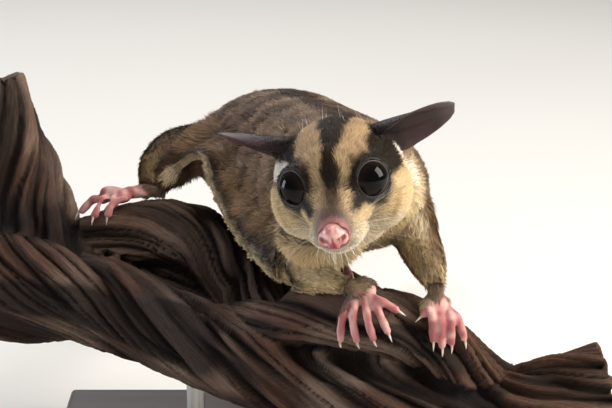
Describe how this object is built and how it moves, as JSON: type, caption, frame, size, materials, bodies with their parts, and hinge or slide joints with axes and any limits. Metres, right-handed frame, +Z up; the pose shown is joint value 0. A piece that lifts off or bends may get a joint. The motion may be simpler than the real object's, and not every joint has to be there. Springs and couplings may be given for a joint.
{
  "type": "sugar glider",
  "caption": "Life-size still model of a sugar glider creeping down a twisted vine, held by a flat base and rods.",
  "frame": {"origin": "centre of the display stand's underside", "axes": "+Z up; -Y is the way the animal faces, so +Y runs back along the body to the tail's tip; +X is the animal's own left"},
  "size_m": [0.1901, 0.3086, 0.12],
  "materials": {
    "back_fur": "short dense grey-brown fur, dark along the midline",
    "face_fur": "short cream fur with a dark stripe and dark eye rings",
    "limb_fur": "short brown fur, paler at the wrists",
    "membrane_fur": "furred gliding membrane with a cream fringe",
    "tail_fur": "soft bushy grey fur, darker to the tip",
    "ear_skin": "thin bare purple-brown skin",
    "bare_skin": "moist pink skin",
    "eye": "glossy black",
    "vine_wood": "weathered fibrous wood with long grooves",
    "stand_wood": "dark stained, satin",
    "rod_steel": "satin"
  },
  "bodies": {
    "root": {"torso": "back_fur", "neck": "back_fur", "head": "face_fur", "nose": "bare_skin", "eye_left": "eye", "eye_right": "eye", "ear_left": "ear_skin", "ear_right": "ear_skin", "arm_left": "limb_fur", "arm_right": "limb_fur", "hand_left": "bare_skin", "hand_right": "bare_skin", "leg_left": "limb_fur", "leg_right": "limb_fur", "foot_left": "bare_skin", "foot_right": "bare_skin", "membrane_left": "membrane_fur", "membrane_right": "membrane_fur", "tail_1": "tail_fur", "tail_2": "tail_fur", "tail_3": "tail_fur", "perch_vine": "vine_wood", "stand_base": "stand_wood", "stand_rod_1": "rod_steel", "stand_rod_2": "rod_steel"}
  },
  "joints": []
}
